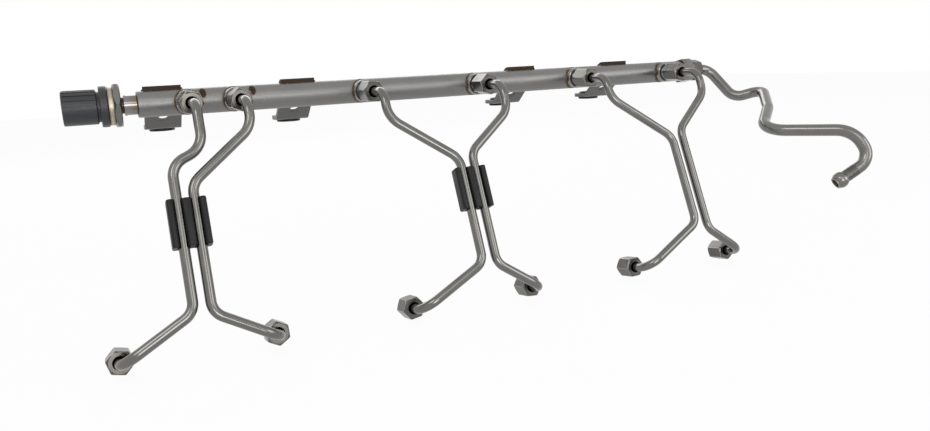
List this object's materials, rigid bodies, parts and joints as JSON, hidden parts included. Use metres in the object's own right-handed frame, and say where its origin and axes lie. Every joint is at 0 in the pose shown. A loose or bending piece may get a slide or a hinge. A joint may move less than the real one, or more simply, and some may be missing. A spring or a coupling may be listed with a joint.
{
  "type": "fuel rail",
  "caption": "High-pressure fuel rail for a straight-six direct-injection engine: rail tube with pressure sensor, bent injector pipes with union nuts, rubber-mounted brackets and feed pipe.",
  "frame": {"origin": "midway between the bracket bolts, on the plane that the bracket bushes stand on", "axes": "+X along the rail towards the feed end, +Y from the injectors towards the bracket feet, +Z along the bracket bolts, up"},
  "size_m": [0.5565, 0.2178, 0.1673],
  "materials": {
    "rail_steel": "satin drawn stainless tube",
    "fitting_steel": "turned, straw heat tint near the brazing",
    "pipe_steel": "drawn tube, lengthwise streaks",
    "nut_steel": "dull warm grey",
    "bracket_steel": "pressed sheet, brown heat tint at the rail",
    "sleeve_steel": "zinc-plated",
    "sensor_steel": "turned stainless steel",
    "crimp_steel": "pale plated sheet",
    "sensor_plastic": "moulded, fine ribs",
    "terminal_metal": "tin-plated",
    "rubber": "moulded"
  },
  "bodies": {
    "rail": {"rail_tube": "rail_steel", "outlet_1": "fitting_steel", "outlet_2": "fitting_steel", "outlet_3": "fitting_steel", "outlet_4": "fitting_steel", "outlet_5": "fitting_steel", "outlet_6": "fitting_steel", "rail_nut_1": "nut_steel", "rail_nut_2": "nut_steel", "rail_nut_3": "nut_steel", "rail_nut_4": "nut_steel", "rail_nut_5": "nut_steel", "rail_nut_6": "nut_steel", "injector_pipe_1": "pipe_steel", "injector_pipe_2": "pipe_steel", "injector_pipe_3": "pipe_steel", "injector_pipe_4": "pipe_steel", "injector_pipe_5": "pipe_steel", "injector_pipe_6": "pipe_steel", "damper_1": "rubber", "damper_2": "rubber", "bracket_1": "bracket_steel", "bracket_2": "bracket_steel", "bracket_3": "bracket_steel", "bracket_4": "bracket_steel", "bracket_bush_1": "rubber", "bracket_bush_2": "rubber", "bracket_bush_3": "rubber", "bracket_bush_4": "rubber", "bush_sleeve_1": "sleeve_steel", "bush_sleeve_2": "sleeve_steel", "bush_sleeve_3": "sleeve_steel", "bush_sleeve_4": "sleeve_steel", "sensor_port": "fitting_steel", "sensor_body": "sensor_steel", "crimp_ring": "crimp_steel", "sensor_housing": "sensor_plastic", "sensor_seal": "rubber", "sensor_terminal_1": "terminal_metal", "sensor_terminal_2": "terminal_metal", "sensor_terminal_3": "terminal_metal", "feed_fitting": "fitting_steel", "feed_nut": "nut_steel", "feed_pipe": "pipe_steel"},
    "nut_1": {"injector_nut_1": "nut_steel"},
    "nut_2": {"injector_nut_2": "nut_steel"},
    "nut_3": {"injector_nut_3": "nut_steel"},
    "nut_4": {"injector_nut_4": "nut_steel"},
    "nut_5": {"injector_nut_5": "nut_steel"},
    "nut_6": {"injector_nut_6": "nut_steel"}
  },
  "joints": [
    {"name": "nut_1_turn", "type": "hinge", "parent": "rail", "child": "nut_1", "pos_m": [-0.2292, -0.1298, -0.1226], "axis": [0, 0.9882, -0.153], "continuous": true},
    {"name": "nut_2_turn", "type": "hinge", "parent": "rail", "child": "nut_2", "pos_m": [-0.1382, -0.1298, -0.1226], "axis": [0, 0.9882, -0.153], "continuous": true},
    {"name": "nut_3_turn", "type": "hinge", "parent": "rail", "child": "nut_3", "pos_m": [-0.0472, -0.1298, -0.1226], "axis": [0, 0.9882, -0.153], "continuous": true},
    {"name": "nut_4_turn", "type": "hinge", "parent": "rail", "child": "nut_4", "pos_m": [0.0438, -0.1298, -0.1226], "axis": [0, 0.9882, -0.153], "continuous": true},
    {"name": "nut_5_turn", "type": "hinge", "parent": "rail", "child": "nut_5", "pos_m": [0.1348, -0.1298, -0.1226], "axis": [0, 0.9882, -0.153], "continuous": true},
    {"name": "nut_6_turn", "type": "hinge", "parent": "rail", "child": "nut_6", "pos_m": [0.2258, -0.1298, -0.1226], "axis": [0, 0.9882, -0.153], "continuous": true}
  ]
}
